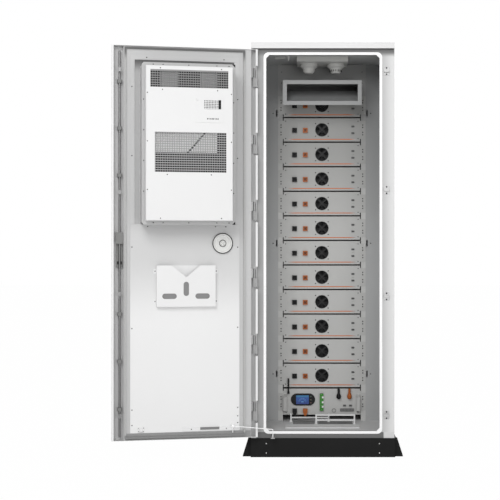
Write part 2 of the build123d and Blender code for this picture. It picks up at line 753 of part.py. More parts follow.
def bumper():
    """A rubber bumper dome on its screwed bracket."""
    x, z = bumper_u - half, 170.0
    plate = leaf((bumper_u - 17.5, bumper_u + 17.5), (lining_n - 3, lining_n), (158, 186))
    dome = along_y(11, (front - lining_n + 3, front - lining_n + 12), x, z)
    dome = chamfer(dome.faces().sort_by(Axis.Y)[-1].edges(), 4)
    return plate + dome


def stay_catch():
    """The tab under the door whose hole takes the stay's hooked end."""
    x, y = swung(stay_u - stay_reach, stay_n)
    tab = span((x - 11, x + 11), (y - 10, front), catch_z)
    return tab - upright(catch_hole, x, y, (catch_z[0] - 1, catch_z[1] + 1))


# ---- Build every node ----
keep("plinth_frame", plinth_ring(), anchor_foot(-1), anchor_foot(1))
keep("floor_panel", *floor_panel(), cable_bracket(-180, front + 371, 181, (162,)),
     cable_bracket(-38, front + 262, 192, (192, 164)))
for name, side in (("left", -1), ("right", 1)):
    wall_y = (front + front_sheet, -front)
    keep(f"side_panel_{name}", span(both((half - wall, half), side), wall_y, (floor_top, body_top)))
    keep(f"rack_frame_{name}", *rack_frame(side))
keep("rear_panel", span((wall - half, half - wall), (-front - wall, -front), (floor_top, body_top)))
keep("front_frame", front_frame())
top_panel = span((wall - half, half - wall), (front + front_sheet, -front - wall), (ceiling, body_top))
keep("roof_cap", roof_cap(), top_panel)

middles = [module_bottom + plate_height / 2 + index * module_pitch for index in range(module_count)]
for number, middle in enumerate(middles, 1):
    keep(f"battery_module_{number:02d}", battery_module(middle - plate_height / 2))
    keep(f"fan_rotor_{number:02d}", fan_rotor(middle))
keep("fan_guards", *[fan_guard(middle) for middle in middles])

control_middle = (control_bottom + control_top) / 2
keep("control_box", faced_box(control_bottom, control_top - control_bottom, 100),
     bow_handle((-219, -200), (179, 284)), bow_handle((198, 217), (179, 284)))
black = [socket(-156, middle - 3) for middle in middles]
orange = [socket(-95, middle - 3) for middle in middles]
antenna = prism(5.0, 8, -191, plate_y - 14, (302, 377)) + prism(7.0, 8, -191, plate_y - 14, (288, 302))
antenna += span((-195, -187), (plate_y - 14, plate_y), (291, 299))
keep("connectors_black", *black, boot_up(96, 276), boot_down(-155, 191), antenna)
keep("connectors_orange", *orange, boot_up(157, 276), boot_down(-95, 191))
ports = [small_port(178, middle + offset) for middle in middles for offset in (-19, 19)]
terminal = span((-11, 8), (plate_y - 16, plate_y), (192, 290))
keep("signal_connectors", *ports, terminal, small_port(130, 220), small_port(164, 220),
     span((105, 182), (plate_y - 8, plate_y), (188, 203)))

bezel_y = plate_y - 6
bezel = obround((-177, -39), (221, 289), (bezel_y, plate_y))
bezel -= span((-148, -74), (bezel_y - 1, plate_y + 1), (228, 279))
button_radius = 4.5
button_heights = (235.6, 253.4, 271.6)
for height in button_heights:
    bezel -= along_y(button_radius + 0.2, (bezel_y - 1, plate_y + 1), -62.6, height)
screen = span((-148, -74), (bezel_y + 2, plate_y), (228, 279))
keep("display_bezel", bezel, screen)
for number, height in enumerate(button_heights, 1):
    keep(f"display_button_{number}", along_y(button_radius, (bezel_y - 2, plate_y - 1.5), -62.6, height))

keep("air_duct", air_duct())
box_y = (front + detector_setback - 100, front + detector_setback + 100)
detector_box = span((-140, 140), box_y, (ceiling - detector_box_height, ceiling))
keep("fire_detectors", detector_box, detector(-detector_spacing / 2), detector(detector_spacing / 2))
keep("strikes", *[strike(height) for height in strike_heights], stay_catch())
keep("hinge_leaves_fixed", *[fixed_leaf(height) for height in hinge_heights])

keep_on_door("hinge_leaves_door", *[door_leaf(height) for height in hinge_heights])
keep_on_door("door_shell", door_shell())
keep_on_door("door_lining", *door_lining())
keep_on_door("door_seal", door_seal())
keep_on_door("ac_housing", ac_housing(), ac_hood())
keep_on_door("ac_cover", ac_cover(), access_plate())
keep_on_door("document_pocket", document_pocket())
keep_on_door("relief_disc", relief_disc())
keep_on_door("lock_rod_upper", lock_rod(1))
keep_on_door("lock_rod_lower", lock_rod(-1))
keep_on_door("lock_case", *lock_case(), *[rod_guide(height) for height in guide_heights])
keep_on_door("swing_handle", swing_handle())
keep_on_door("stay_rod", stay_rod())
keep_on_door("door_fittings", stay_bracket(), bumper())

os.makedirs("parts", exist_ok=True)
for name, shape in parts.items():
    export_step(shape, f"parts/{name}.step")
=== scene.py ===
# %% [markdown]
# # An outdoor battery cabinet, with its door open
# The cabinet's sheet metal, its twelve battery modules, its lock and its hinges come from a CAD model.
# This lesson dresses that model: it gives each part a finish, and adds the small pieces that make the
# cabinet look real, such as screws, fan guards, grille strips and the lit display.

# %% Load the model
import math

import bmesh
import bpy
from mathutils import Matrix, Vector
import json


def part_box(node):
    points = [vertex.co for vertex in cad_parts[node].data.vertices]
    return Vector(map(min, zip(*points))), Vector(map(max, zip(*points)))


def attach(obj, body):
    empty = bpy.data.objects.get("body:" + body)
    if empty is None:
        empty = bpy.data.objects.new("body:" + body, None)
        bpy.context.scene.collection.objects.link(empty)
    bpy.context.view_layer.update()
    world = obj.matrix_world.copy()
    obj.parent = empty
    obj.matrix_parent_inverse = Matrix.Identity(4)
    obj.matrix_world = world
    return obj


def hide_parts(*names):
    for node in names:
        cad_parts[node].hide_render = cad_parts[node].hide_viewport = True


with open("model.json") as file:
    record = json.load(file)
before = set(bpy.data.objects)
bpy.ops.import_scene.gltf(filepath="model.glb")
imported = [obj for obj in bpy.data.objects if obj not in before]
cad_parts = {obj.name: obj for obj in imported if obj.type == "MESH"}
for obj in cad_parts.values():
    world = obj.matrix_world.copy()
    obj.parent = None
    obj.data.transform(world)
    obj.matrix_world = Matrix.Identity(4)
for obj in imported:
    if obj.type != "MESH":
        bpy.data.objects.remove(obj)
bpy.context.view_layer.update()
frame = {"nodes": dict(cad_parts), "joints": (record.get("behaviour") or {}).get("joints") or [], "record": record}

mm = 0.001

# %% [markdown]
# ## The camera
# A long lens from 6.6 m away keeps the tall cabinet's edges upright. The camera is level, and a little
# lens shift puts the open door and the cabinet side by side without turning the camera.

# %% Set up the camera
camera_data = bpy.data.cameras.new("camera")
camera_data.sensor_width = 36.0
camera_data.lens = 83.36
camera_data.shift_x = -0.114
camera = bpy.data.objects.new("camera", camera_data)
camera.location = (-0.085, -6.65, 1.109)
camera.rotation_euler = (math.radians(90), 0, 0)
bpy.context.scene.collection.objects.link(camera)
bpy.context.scene.camera = camera
print("camera stands", round(camera.location.y, 2), "m in front")

# %% [markdown]
# ## Nodes for materials
# Every finish below is a small graph of nodes. One helper adds a node, sets its values and joins its
# inputs, so each material reads like a recipe. Colours are written as on a paint card and turned into
# the linear values that light is worked out with. Two settings come up often: a map range that is soft
# at its ends, and a mix of colours, whose sockets are inputs 0 (the share), 6 and 7, and output 2.

# %% Helpers for materials
soft = {"interpolation_type": "SMOOTHSTEP"}
colours = {"data_type": "RGBA"}


def linear(card, share=1.0):
    """A share of a paint card's colour, such as "E6E6E6", as linear red, green and blue, with alpha."""
    values = [int(card[i:i + 2], 16) / 255 for i in (0, 2, 4)]
    return [share * (v / 12.92 if v <= 0.04045 else ((v + 0.055) / 1.055) ** 2.4) for v in values] + [1.0]


def add(material, kind, inputs=None, **settings):
    """One node of a material, with its settings, its numbers and its links. kind is its type's last part."""
    node = material.node_tree.nodes.new("ShaderNode" + kind)
    for name, value in settings.items():
        setattr(node, name, value)
    for name, value in (inputs or {}).items():
        if isinstance(value, bpy.types.NodeSocket):
            material.node_tree.links.new(value, node.inputs[name])
        else:
            node.inputs[name].default_value = value
    return node


def new_material(name):
    """An empty material and a vector that is fixed to the object, in metres."""
    material = bpy.data.materials.new(name)
    material.use_nodes = True
    material.node_tree.nodes.clear()
    return material, add(material, "TexCoord").outputs["Object"]


def close(material, **inputs):
    """Finish a material with a shader of some inputs, named with _ for each space."""
    values = {name.replace("_", " "): value for name, value in inputs.items()}
    shader = add(material, "BsdfPrincipled", values).outputs["BSDF"]
    add(material, "OutputMaterial", {"Surface": shader})
    return material


# %% [markdown]
# ## Powder coat
# Most of the cabinet is sheet steel with a baked powder coat. Close up, that finish is not flat: it has a
# fine skin like orange peel, a slow change in shade where the powder lay thicker, and a few darker specks.
# Two noise textures and a bump node are enough. The peel is about a millimetre across, so its scale is
# written as 1 divided by its size in metres. Places in shade get a colour of their own: a zone is a
# function that says, from 0 to 1, how much of its colour a point gets.

# %% A powder coat
def over_zones(material, place, colour, zones):
    """A colour with other colours laid over it in some zones."""
    for card, zone in zones:
        layers = {0: zone(material, place), 6: colour, 7: linear(card)}
        colour = add(material, "Mix", layers, **colours).outputs[2]
    return colour


def powder_coat(name, card, shade, peel=1.2 * mm, depth=0.05 * mm, roughness=0.5, sheen=0.5, zones=()):
    """Sheet metal paint. shade is how much darker its slow patches are."""
    material, place = new_material(name)
    slow = add(material, "TexNoise", {"Vector": place, "Scale": 2.2, "Detail": 2.0}).outputs["Fac"]
    fine = add(material, "TexNoise", {"Vector": place, "Scale": 1 / peel, "Detail": 3.0}).outputs["Fac"]
    patches = add(material, "MapRange", {"Value": slow, "From Min": 0.35, "From Max": 0.65}, **soft)
    layers = {0: patches.outputs[0], 6: linear(card, 1 - shade), 7: linear(card)}
    colour = add(material, "Mix", layers, **colours).outputs[2]
    colour = over_zones(material, place, colour, zones)
    specks = add(material, "MapRange", {"Value": fine, "From Min": 0.68, "From Max": 0.8}, **soft)
    layers = {0: specks.outputs[0], 6: colour, 7: linear(card, 0.86)}
    colour = add(material, "Mix", layers, **colours).outputs[2]
    gloss = add(material, "MapRange", {"Value": fine, "To Min": roughness - 0.05, "To Max": roughness + 0.07})
    skin = add(material, "Bump", {"Height": fine, "Distance": depth, "Strength": 0.5}).outputs[0]
    return close(material, Base_Color=colour, Roughness=gloss.outputs[0], Normal=skin, IOR=1.5,
                 Specular_IOR_Level=sheen)


axes = [Vector((1, 0, 0)), Vector((0, 1, 0)), Vector((0, 0, 1))]


def slab(direction, low, high, edge, origin=(0, 0, 0)):
    """A zone between two distances from an origin, along a direction, with soft edges."""
    def zone(material, place):
        arm = add(material, "VectorMath", {0: place, 1: origin}, operation="SUBTRACT").outputs[0]
        along = add(material, "VectorMath", {0: arm, 1: direction}, operation="DOT_PRODUCT").outputs["Value"]
        ends = [{"Value": along, "From Min": start, "From Max": start + edge} for start in (low, high - edge)]
        rise, fall = [add(material, "MapRange", end, **soft).outputs[0] for end in ends]
        return add(material, "Math", {0: rise, 1: fall}, operation="SUBTRACT").outputs[0]
    return zone


def slope_zone(axis, low, high):
    """A zone that sets in softly between two places along an axis, and goes on from there."""
    def zone(material, place):
        along = add(material, "SeparateXYZ", {"Vector": place}).outputs[axis]
        limits = {"Value": along, "From Min": low, "From Max": high}
        return add(material, "MapRange", limits, **soft).outputs[0]
    return zone


def overlap(*zones):
    """The zone where all of some zones lie."""
    def zone(material, place):
        share = zones[0](material, place)
        for other in zones[1:]:
            both = {0: share, 1: other(material, place)}
            share = add(material, "Math", both, operation="MULTIPLY").outputs[0]
        return share
    return zone


def box_zone(x=None, y=None, z=None, edge=0.6 * mm):
    """The zone inside a box, given by its limits in metres."""
    return overlap(*[slab(axis, *limits, edge) for axis, limits in zip(axes, (x, y, z)) if limits])


hinge = next(joint for joint in frame["joints"] if joint["name"] == "door_hinge")
hinge_place = Vector((hinge["pos_m"][0], hinge["pos_m"][1], 0))
open_turn = Matrix.Rotation(-math.radians(hinge["range_deg"][1]), 4, "Z")
to_open_door = Matrix.Translation(hinge_place) @ open_turn @ Matrix.Translation(-hinge_place)
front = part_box("front_frame")[0].y + 2 * mm
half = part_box("front_frame")[1].x


def door_zone(u=None, n=None, z=None, edge=0.6 * mm):
    """The zone inside a box on the door, in the closed door's millimetres: from its hinge edge (u),
    forward from the cabinet's front (n) and up (z)."""
    limits = (u and [v * mm - half - hinge_place.x for v in u],
              n and [front - v * mm - hinge_place.y for v in reversed(n)],
              z and [v * mm for v in z])
    return overlap(*[slab(open_turn @ axis, *pair, edge, hinge_place)
                     for axis, pair in zip(axes, limits) if pair])


# %% [markdown]
# The walls inside are a darker grey than the front: painted shade inside the cabinet. The front frame is in the
# soft shade of the roof, the door and the plinth, so its paint gets gently greyer towards them: painted shade. On
# the door the lining is paler at its foot and greyer upwards, painted shade under the conditioner, and the
# perforated fields of the conditioner's cover are painted grey between their holes, for the shade round them.

# %% The paints
# Painted shade: the walls inside the cabinet get a darker grey than its outside.
shaded_walls_inside = box_zone((-0.3516, 0.3516), (-0.409, 0.4186), (0.14, 2.171))
rack_posts = box_zone(x=(-0.2503, 0.2503))
pan_inside = door_zone((1, 765), (6.6, 49), (117, 2173))
paints = {
    "cabinet_paint": powder_coat("cabinet_powder_coat", "E5E5E5", 0.02, zones=[("B2B3B3", shaded_walls_inside)]),
    # Painted shade: the front frame is grey on the hinge side, paler across its right stile, and darker under the
    # roof and above the plinth.
    "frame_paint": powder_coat("front_powder_coat", "A4A4A4", 0.02, zones=[
        ("BCBCBC", slope_zone("X", 0.25, 0.3)), ("DEDEDE", slope_zone("X", 0.306, 0.38)),
        ("6E6E6E", slope_zone("Z", 2.14, 2.17)),
        ("6E6E6E", box_zone((-0.36, 0.33), z=(0.05, 0.136), edge=9 * mm))]),
    # Painted shade: the floor panel is a little darker below its top and dark at its front edge, under the lip.
    "floor_paint": powder_coat("floor_powder_coat", "DCDCDC", 0.02, zones=[
        ("D4D4D4", box_zone(z=(0.09, 0.1346))),
        ("606060", box_zone((-0.36, 0.33), (-0.48, -0.42), (0.09, 0.142), 9 * mm))]),
    # Painted shade on the door's pan: dark under its top edge and darker at its foot; the grey of the rest of the
    # pan is its own.
    "door_paint": powder_coat("door_powder_coat", "EDEDED", 0.02, zones=[
        ("C4C4C4", pan_inside), ("606060", door_zone((1, 765), (6.6, 49), (2076, 2270), 94 * mm)),
        ("868686", door_zone((30, 700), (6.6, 49), (100, 158), 10 * mm))]),
    "lining_paint": powder_coat("white_powder_coat", "E9E9E9", 0.015, roughness=0.55),
    # Painted shade: the lining gets greyer upwards, under the conditioner.
    "sheet_paint": powder_coat("lining_powder_coat", "ECECEC", 0.015, roughness=0.55, zones=[
        ("CFCFCF", slope_zone("Z", 0.7, 1.1)), ("C6C6C6", slope_zone("Z", 1.16, 1.26))]),
    # Painted shade: the cover is grey between the holes of its two perforated fields.
    "cover_paint": powder_coat("cover_powder_coat", "E6E6E6", 0.01, roughness=0.55, zones=[
        ("8A8A8A", door_zone((181, 577), (-190, -180), (1934, 2024))),
        ("A6A6A6", door_zone((191, 555), (-190, -180), (1504, 1708)))]),
    "housing_paint": powder_coat("housing_powder_coat", "EDEDED", 0.02, zones=[
        ("B6B6B6", door_zone((100, 660), (-170, -17), (1200, 2100)))]),
    # Painted shade: the rack and the upper posts get darker towards the top of the cabinet; the posts are a
    # lighter grey.
    "rack_paint": powder_coat("rack_powder_coat", "B2B3B3", 0.04, zones=[
        ("808181", slope_zone("Z", 0.9, 2.1)), ("C6C6C4", rack_posts),
        ("8C8C8B", overlap(rack_posts, slope_zone("Z", 1.2, 1.95)))]),
    # Painted shade: the upper modules are darker.
    "module_paint": powder_coat("module_powder_coat", "BCBCBA", 0.03, peel=0.8 * mm,
                                zones=[("969694", slope_zone("Z", 1.15, 1.85))]),
    "duct_paint": powder_coat("duct_powder_coat", "949595", 0.03),
    "plinth_paint": powder_coat("black_powder_coat", "1A1A1A", 0.12, peel=1.6 * mm, roughness=0.6,
                                sheen=0.12),
    # Painted shade: the recess bed is grey, darkest at its top and along its edge near the hinge.
    "recess_paint": powder_coat("recess_powder_coat", "B2B2B2", 0.02, zones=[
        ("505050", slope_zone("Z", 2.03, 2.10)),
        ("5A5A5A", door_zone((110, 139), (0, 20), (1200, 2110), 3 * mm))]),
}
print(len(paints), "paints")

# %% [markdown]
# ## Moulded plastic, rubber and steel
# Plastic parts get a fine spark-eroded grain. Foam rubber is rougher, with small pores. The rods and
# hinges are zinc plated steel: a metal whose reflections are broken up by fine vertical brushing.

# %% Plastics, rubber and steel
def moulded(name, card, grain=0.5 * mm, roughness=0.45, depth=0.03 * mm, sheen=0.5):
    """Moulded plastic with a fine grain and slightly uneven colour."""
    material, place = new_material(name)
    fine = add(material, "TexNoise", {"Vector": place, "Scale": 1 / grain, "Detail": 2.0}).outputs["Fac"]
    uneven = add(material, "MapRange", {"Value": fine, "From Min": 0.3, "From Max": 0.7}, **soft)
    layers = {0: uneven.outputs[0], 6: linear(card, 0.93), 7: linear(card)}
    colour = add(material, "Mix", layers, **colours).outputs[2]
    skin = add(material, "Bump", {"Height": fine, "Distance": depth, "Strength": 0.4}).outputs[0]
    gloss = add(material, "MapRange", {"Value": fine, "To Min": roughness - 0.06, "To Max": roughness + 0.06})
    return close(material, Base_Color=colour, Roughness=gloss.outputs[0], Normal=skin, IOR=1.46,
                 Specular_IOR_Level=sheen)


def foam_rubber(name, card, zones=()):
    """Foam rubber with open pores about a millimetre wide."""
    material, place = new_material(name)
    pores = add(material, "TexVoronoi", {"Vector": place, "Scale": 900.0}).outputs["Distance"]
    rims = add(material, "MapRange", {"Value": pores, "From Min": 0.1, "From Max": 0.5}, **soft)
    layers = {0: rims.outputs[0], 6: linear(card, 0.6), 7: linear(card)}
    colour = add(material, "Mix", layers, **colours).outputs[2]
    colour = over_zones(material, place, colour, zones)
    skin = add(material, "Bump", {"Height": pores, "Distance": 0.3 * mm}).outputs[0]
    return close(material, Base_Color=colour, Roughness=0.9, Normal=skin, IOR=1.5)


def plated_steel(name, card, roughness=0.38):
    """Zinc plated steel, brushed along its height."""
    material, place = new_material(name)
    drawn = add(material, "Mapping", {"Vector": place, "Scale": (1500.0, 1500.0, 60.0)}).outputs[0]
    lines = add(material, "TexNoise", {"Vector": drawn, "Scale": 1.0, "Detail": 3.0}).outputs["Fac"]
    layers = {0: lines, 6: linear(card, 0.8), 7: linear(card)}
    colour = add(material, "Mix", layers, **colours).outputs[2]
    skin = add(material, "Bump", {"Height": lines, "Distance": 0.02 * mm}).outputs[0]
    gloss = add(material, "MapRange", {"Value": lines, "To Min": roughness - 0.08, "To Max": roughness + 0.08})
    return close(material, Base_Color=colour, Metallic=1.0, Roughness=gloss.outputs[0], Normal=skin)


finishes = dict(paints)
finishes.update({
    "fan_plastic": moulded("fan_black_plastic", "161617", sheen=0.3),
    "black_plastic": moulded("black_plastic", "161617", sheen=0.2),
    "orange_plastic": moulded("orange_plastic", "A85612"),
    "button_plastic": moulded("button_plastic", "3A3B3C"),
    "detector_plastic": moulded("detector_plastic", "B9B9B6", grain=0.8 * mm),
    "valve_plastic": moulded("valve_plastic", "E2E2E0", grain=0.8 * mm),
    "port_plastic": moulded("port_plastic", "484848"),
    "lock_plastic": moulded("lock_grey_plastic", "7C7C7B", grain=0.8 * mm),
    # Painted shade: the foam seal is darker along the door's top and at its foot.
    "seal_rubber": foam_rubber("foam_seal", "BDBDBC", zones=[
        ("6E6E6E", slope_zone("Z", 2.09, 2.15)), ("8A8A8A", box_zone(z=(0.09, 0.15), edge=10 * mm))]),
    "hinge_steel": plated_steel("zinc_plated_hinges", "8A8A8A"),
    "rod_steel": plated_steel("zinc_plated_rods", "7E7E7E"),
    "strike_steel": plated_steel("plated_strikes", "A8A8A8", 0.45),
    "stay_steel": plated_steel("bright_stay_wire", "F0F0F0", 0.5),
})
print(len(finishes), "finishes")

# %% [markdown]
# ## Give every CAD part its finish
# The model's record says which material slot each part belongs to. Each slot's finish goes straight on
# the parts, whose meshes stay as they are. A few parts get a finish of their own: the door's pan is grey
# inside, and its stay is brighter than its lock rods.

# %% Dress the CAD parts
own_finish = {"door_shell": "door_paint", "lock_case": "lock_plastic", "stay_rod": "stay_steel",
              "hinge_leaves_fixed": "frame_paint", "front_frame": "frame_paint", "floor_panel": "floor_paint",
              "door_lining": "sheet_paint", "ac_cover": "cover_paint", "ac_housing": "housing_paint",
              "strikes": "strike_steel", "signal_connectors": "port_plastic"}
for part in frame["record"]["subparts"]:
    mesh = frame["nodes"][part["node"]].data
    mesh.materials.clear()
    mesh.materials.append(finishes[own_finish.get(part["node"], part["material_slot"])])

# %% [markdown]
# ## Helpers for new pieces
# A new piece is made with bmesh operators and then becomes one object at the origin, with its place in
# its mesh. Pieces on the door are drawn on the closed door, measured from its hinge edge (u), forward
# from the cabinet's front (n) and up (z). One matrix then swings them to the open door.

# %% Make and place pieces
def make(name, bm, finish, body="cabinet", smooth=False):
    """Turn a bmesh into a piece that rides on a body."""
    if body == "door":
        bmesh.ops.transform(bm, matrix=to_open_door, verts=bm.verts)
    bmesh.ops.recalc_face_normals(bm, faces=bm.faces)
    mesh = bpy.data.meshes.new(name)
    bm.to_mesh(mesh)
    bm.free()
    mesh.materials.append(finish)
    if smooth:
        mesh.shade_smooth()
    piece = bpy.data.objects.new(name, mesh)
    bpy.context.scene.collection.objects.link(piece)
    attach(piece, body)
    print(name, len(mesh.polygons), "faces on", body)
    return piece


def block(bm, low, high, bevel=0.0):
    """A box between two corners, in metres, with its edges broken."""
    made = bmesh.ops.create_cube(bm, size=1.0)["verts"]
    size = [b - a for a, b in zip(low, high)]
    middle = [(a + b) / 2 for a, b in zip(low, high)]
    bmesh.ops.scale(bm, vec=size, verts=made)
    bmesh.ops.translate(bm, vec=middle, verts=made)
    if bevel:
        edges = list({edge for vert in made for edge in vert.link_edges})
        bmesh.ops.bevel(bm, geom=edges, offset=bevel, offset_type="OFFSET", segments=1, profile=0.5,
                        affect="EDGES", material=-1)


def on_door(u, n, z):
    """A point of the closed door, in metres, from millimetres."""
    return Vector((u * mm - half, front - n * mm, z * mm))


def door_blocks(name, finish, boxes, bevel=0.0):
    """A piece of blocks on the closed door, each given by its limits of u, n and z in millimetres."""
    bm = bmesh.new()
    for u, n, z in boxes:
        block(bm, on_door(u[0], n[1], z[0]), on_door(u[1], n[0], z[1]), bevel * mm)
    make(name, bm, finish, "door")


def cabinet_blocks(name, finish, boxes, bevel=0.0):
    """A piece of blocks in the cabinet, each given by its limits of x, y and z in metres."""
    bm = bmesh.new()
    for x, y, z in boxes:
        block(bm, (x[0], y[0], z[0]), (x[1], y[1], z[1]), bevel)
    make(name, bm, finish)


def door_face(bm, points, y):
    """A flat face on the closed door, through (u, z) points in millimetres, at y in metres."""
    return bm.faces.new([bm.verts.new((u * mm - half, y, z * mm)) for u, z in points])


def thicken(bm, faces, step):
    """Give faces a thickness, by a step along Y."""
    moved = bmesh.ops.extrude_face_region(bm, geom=faces)["geom"]
    bmesh.ops.translate(bm, vec=(0, step, 0), verts=[v for v in moved if isinstance(v, bmesh.types.BMVert)])


def rod_along(bm, start, end, radius, sides=12, tip=None):
    """A round bar, or a cone with a tip radius, between two points in metres."""
    run = end - start
    made = bmesh.ops.create_cone(bm, cap_ends=True, segments=sides, radius1=radius,
                                 radius2=radius if tip is None else tip, depth=run.length)["verts"]
    turn = Vector((0, 0, 1)).rotation_difference(run.normalized()).to_matrix().to_4x4()
    bmesh.ops.transform(bm, matrix=Matrix.Translation((start + end) / 2) @ turn, verts=made)


# %% [markdown]
# ## The floor and the light
# The cabinet stands on a plain pale floor. The background is white because the world is white to the
# camera, not because there is more light. Two large soft lamps in front light it evenly, and the world
# fills the shadows.

# %% Floor, world and lamps
def white_floor():
    """A pale floor that stays white where the camera sees it and still takes the shadow."""
    material, place = new_material("studio_floor")
    grain = add(material, "TexNoise", {"Vector": place, "Scale": 40.0}).outputs["Fac"]
    layers = {0: grain, 6: linear("F4F4F4"), 7: linear("FAFAFA")}
    colour = add(material, "Mix", layers, **colours).outputs[2]
    matt = add(material, "BsdfPrincipled", {"Base Color": colour, "Roughness": 0.9})
    glow = add(material, "Emission", {"Color": (1, 1, 1, 1), "Strength": 1.0})
    rays = add(material, "LightPath").outputs
    straight = {0: rays["Is Camera Ray"], 1: rays["Is Glossy Ray"]}
    seen = add(material, "Math", straight, operation="MAXIMUM").outputs[0]
    share = add(material, "Math", {0: seen, 1: 0.99}, operation="MULTIPLY").outputs[0]
    mix = add(material, "MixShader", {0: share, 1: matt.outputs[0], 2: glow.outputs[0]})
    add(material, "OutputMaterial", {"Surface": mix.outputs[0]})
    return material


bm = bmesh.new()
bmesh.ops.create_grid(bm, x_segments=1, y_segments=1, size=30.0)
floor_mesh = bpy.data.meshes.new("studio_floor")
bm.to_mesh(floor_mesh)
bm.free()
floor_mesh.materials.append(white_floor())
floor = bpy.data.objects.new("studio_floor", floor_mesh)
bpy.context.scene.collection.objects.link(floor)

world = bpy.data.worlds.new("studio")
bpy.context.scene.world = world
world.use_nodes = True
world.node_tree.nodes.clear()
rays = add(world, "LightPath").outputs
seen = add(world, "Math", {0: rays["Is Camera Ray"], 1: rays["Is Glossy Ray"]}, operation="MAXIMUM")
seen = add(world, "Math", {0: seen.outputs[0], 1: rays["Is Transmission Ray"]}, operation="MAXIMUM")
fill = add(world, "Background", {"Color": (1, 1, 1, 1), "Strength": 0.42})
white = add(world, "Background", {"Color": (1, 1, 1, 1), "Strength": 1.0})
mix = add(world, "MixShader", {0: seen.outputs[0], 1: fill.outputs[0], 2: white.outputs[0]})
add(world, "OutputWorld", {"Surface": mix.outputs[0]})


def soft_lamp(name, place, target, size, power):
    """A square area lamp turned towards a target."""
    data = bpy.data.lights.new(name, "AREA")
    data.size = size
    data.energy = power
    lamp = bpy.data.objects.new(name, data)
    lamp.location = place
    lamp.rotation_euler = (Vector(target) - Vector(place)).to_track_quat("-Z", "Y").to_euler()
    bpy.context.scene.collection.objects.link(lamp)


soft_lamp("key_lamp", (-1.2, -5.6, 3.6), (-0.3, -0.4, 0.9), 2.4, 130)
soft_lamp("fill_lamp", (1.6, -6.2, 1.0), (0.0, -0.4, 0.9), 2.6, 66)
bpy.context.scene.view_settings.view_transform = "Standard"

# %% [markdown]
# ## Screw heads
# Dozens of small dark screws hold the sheets. Each one is a low pan head, sunk in its middle. It is
# modelled once, with few faces because it is repeated so often, and stamped wherever a screw sits.

# %% One screw head
def screw_head(radius, height):
    """A pan head that faces -Y, with its back at the origin."""
    bm = bmesh.new()
    made = bmesh.ops.create_cone(bm, cap_ends=True, segments=8, radius1=radius, radius2=radius * 0.72,
                                 depth=height)["verts"]
    bmesh.ops.translate(bm, vec=(0, 0, height / 2), verts=made)
    top = max(bm.faces, key=lambda face: face.calc_center_median().z)
    bmesh.ops.inset_region(bm, faces=[top], thickness=radius * 0.28)
    bmesh.ops.translate(bm, vec=(0, 0, -height * 0.6), verts=top.verts)
    bmesh.ops.rotate(bm, matrix=Matrix.Rotation(math.radians(90), 3, "X"), verts=bm.verts)
    mesh = bpy.data.meshes.new("screw_head_pattern")
    bm.to_mesh(mesh)
    bm.free()
    return mesh


def stamp(bm, mesh, matrix):
    """Add a copy of a mesh to a bmesh, moved by a matrix."""
    first = len(bm.verts)
    bm.from_mesh(mesh)
    bm.verts.ensure_lookup_table()
    bmesh.ops.transform(bm, matrix=matrix, verts=bm.verts[first:])


black_screw = plated_steel("blackened_screws", "2A2A2B", 0.45)


def screws(name, places, radius, finish=black_screw, height=None):
    """A group of equal screw heads, one at each point, all facing forward."""
    head = screw_head(radius, height or radius * 0.6)
    bm = bmesh.new()
    for place in places:
        stamp(bm, head, Matrix.Translation(place))
    bpy.data.meshes.remove(head)
    make(name, bm, finish)


# %% [markdown]
# ## The white lip around the opening
# The door's foam seal presses on a lip that runs all round the opening. Its edge trim is bright white,
# with round outer corners and inner corners cut off at 45 degrees. It is drawn as two outlines with the
# same number of points, which a bridge turns into a ring.

# %% The lip trim
def outline(bm, half_width, low, high, corner, steps, y):
    """A closed rectangle outline with round corners, each made of some steps."""
    verts = []
    for x_side, z_side, start in ((1, 1, 0), (-1, 1, 90), (-1, -1, 180), (1, -1, 270)):
        centre_x = x_side * (half_width - corner)
        centre_z = high - corner if z_side > 0 else low + corner
        for step in range(steps + 1):
            turn = math.radians(start + 90 * step / steps)
            point = (centre_x + corner * math.cos(turn), y, centre_z + corner * math.sin(turn))
            verts.append(bm.verts.new(point))
    return [bm.edges.new((a, b)) for a, b in zip(verts, verts[1:] + verts[:1])]


frame_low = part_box("front_frame")[0]
trim_front = frame_low.y - 0.2 * mm
opening_half = 306 * mm
opening_low, opening_high = 137 * mm, 2156 * mm
lip, cut = 11.5 * mm, 22 * mm
bm = bmesh.new()
outer = outline(bm, opening_half + lip, opening_low - lip, opening_high + lip, 26 * mm, 6, trim_front)
inner = outline(bm, opening_half, opening_low, opening_high, 17 * mm, 6, trim_front)
corner_x = opening_half - cut
for vert in {vert for edge in inner for vert in edge.verts}:
    for z, side in ((opening_low, 1), (opening_high, -1)):
        height = (vert.co.z - z) * side
        depth = abs(vert.co.x) - corner_x - height
        if abs(vert.co.x) > corner_x and height < cut and depth > 0:
            vert.co.x -= math.copysign(depth / 2, vert.co.x)
            vert.co.z += depth / 2 * side
bmesh.ops.bridge_loops(bm, edges=outer + inner)
thicken(bm, bm.faces[:], 2.2 * mm)
make("lip_trim", bm, powder_coat("lip_white_coat", "FFFFFF", 0.01, roughness=0.4))

# %% [markdown]
# ## Fans
# Each module breathes through a black fan in a round well. The CAD model has the turning rotor, and a
# guard of crossed bars. What is added is the fan's black housing: a tube that lines the well, and a
# back plate. Wire rings in front finish the guard: each is a small diamond spun about Y, smoothed.

# %% Fan housings and guard rings
module_boxes = [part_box(f"battery_module_{index:02d}") for index in range(1, 13)]
heights = [(low.z + high.z) / 2 for low, high in module_boxes]
guard_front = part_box("fan_guards")[0].y
plate_front = guard_front + 2.5 * mm


def spin_ring(bm, radius, profile, steps, middle):
    """Spin a closed profile of (distance out, y) points about the Y axis at a point."""
    verts = [bm.verts.new((middle.x + radius + out, y, middle.z)) for out, y in profile]
    edges = [bm.edges.new((a, b)) for a, b in zip(verts, verts[1:] + verts[:1])]
    bmesh.ops.spin(bm, geom=verts + edges, cent=middle, axis=(0, 1, 0), angle=math.tau, steps=steps,
                   use_merge=True)


